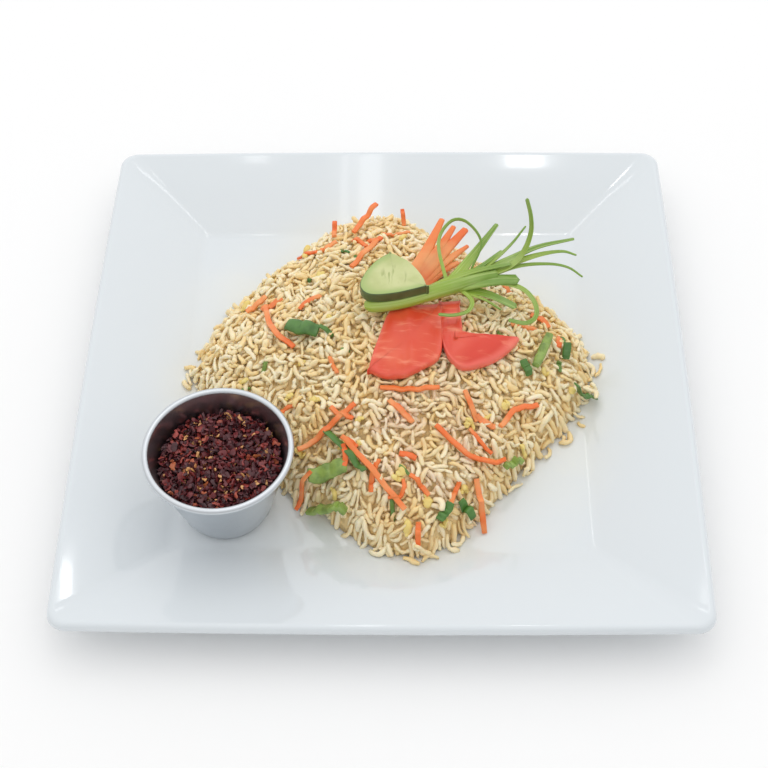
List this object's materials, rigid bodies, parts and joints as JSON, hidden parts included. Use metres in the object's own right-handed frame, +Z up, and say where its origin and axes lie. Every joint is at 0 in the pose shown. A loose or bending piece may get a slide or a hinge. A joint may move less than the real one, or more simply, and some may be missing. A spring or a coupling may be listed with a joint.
{
  "type": "fried rice plate",
  "caption": "Square wide-rimmed white plate with a heap of fried rice, a vegetable garnish and a small steel sauce cup of chilli flakes.",
  "frame": {"origin": "on the table under the centre of the plate", "axes": "+Z up; +X to the diner's right; +Y away from the diner, with the sauce cup at the near left"},
  "size_m": [0.3024, 0.3024, 0.0885],
  "materials": {
    "plate": "smooth glossy white glaze",
    "rice": "moist cooked rice, cream to pale yellow",
    "cup": "polished stainless steel with a rolled rim",
    "flakes": "dark fried chilli flakes with pale seeds, slightly oily",
    "carrot": "moist cut carrot",
    "leaf": "wilted green leaf and stem",
    "scallion": "fresh spring onion, satin",
    "cucumber": "wet cut cucumber with dark green skin",
    "tomato": "wet cut tomato"
  },
  "bodies": {
    "root": {"carrot_brush": "carrot", "carrot_shred_01": "carrot", "carrot_shred_02": "carrot", "carrot_shred_03": "carrot", "carrot_shred_04": "carrot", "carrot_shred_05": "carrot", "carrot_shred_06": "carrot", "carrot_shred_07": "carrot", "carrot_shred_08": "carrot", "carrot_shred_09": "carrot", "carrot_shred_10": "carrot", "carrot_shred_11": "carrot", "carrot_shred_12": "carrot", "carrot_shred_13": "carrot", "carrot_shred_14": "carrot", "carrot_shred_15": "carrot", "chilli_flakes": "flakes", "cucumber_slice": "cucumber", "leaf_strip_01": "leaf", "leaf_strip_02": "leaf", "leaf_strip_03": "leaf", "leaf_strip_04": "leaf", "leaf_strip_05": "leaf", "leaf_strip_06": "leaf", "leaf_strip_07": "leaf", "leaf_strip_08": "leaf", "leaf_strip_09": "leaf", "leaf_strip_10": "leaf", "leaf_strip_11": "leaf", "plate": "plate", "rice_heap": "rice", "sauce_cup": "cup", "scallion_brush": "scallion", "tomato_left": "tomato", "tomato_right": "tomato"}
  },
  "joints": []
}
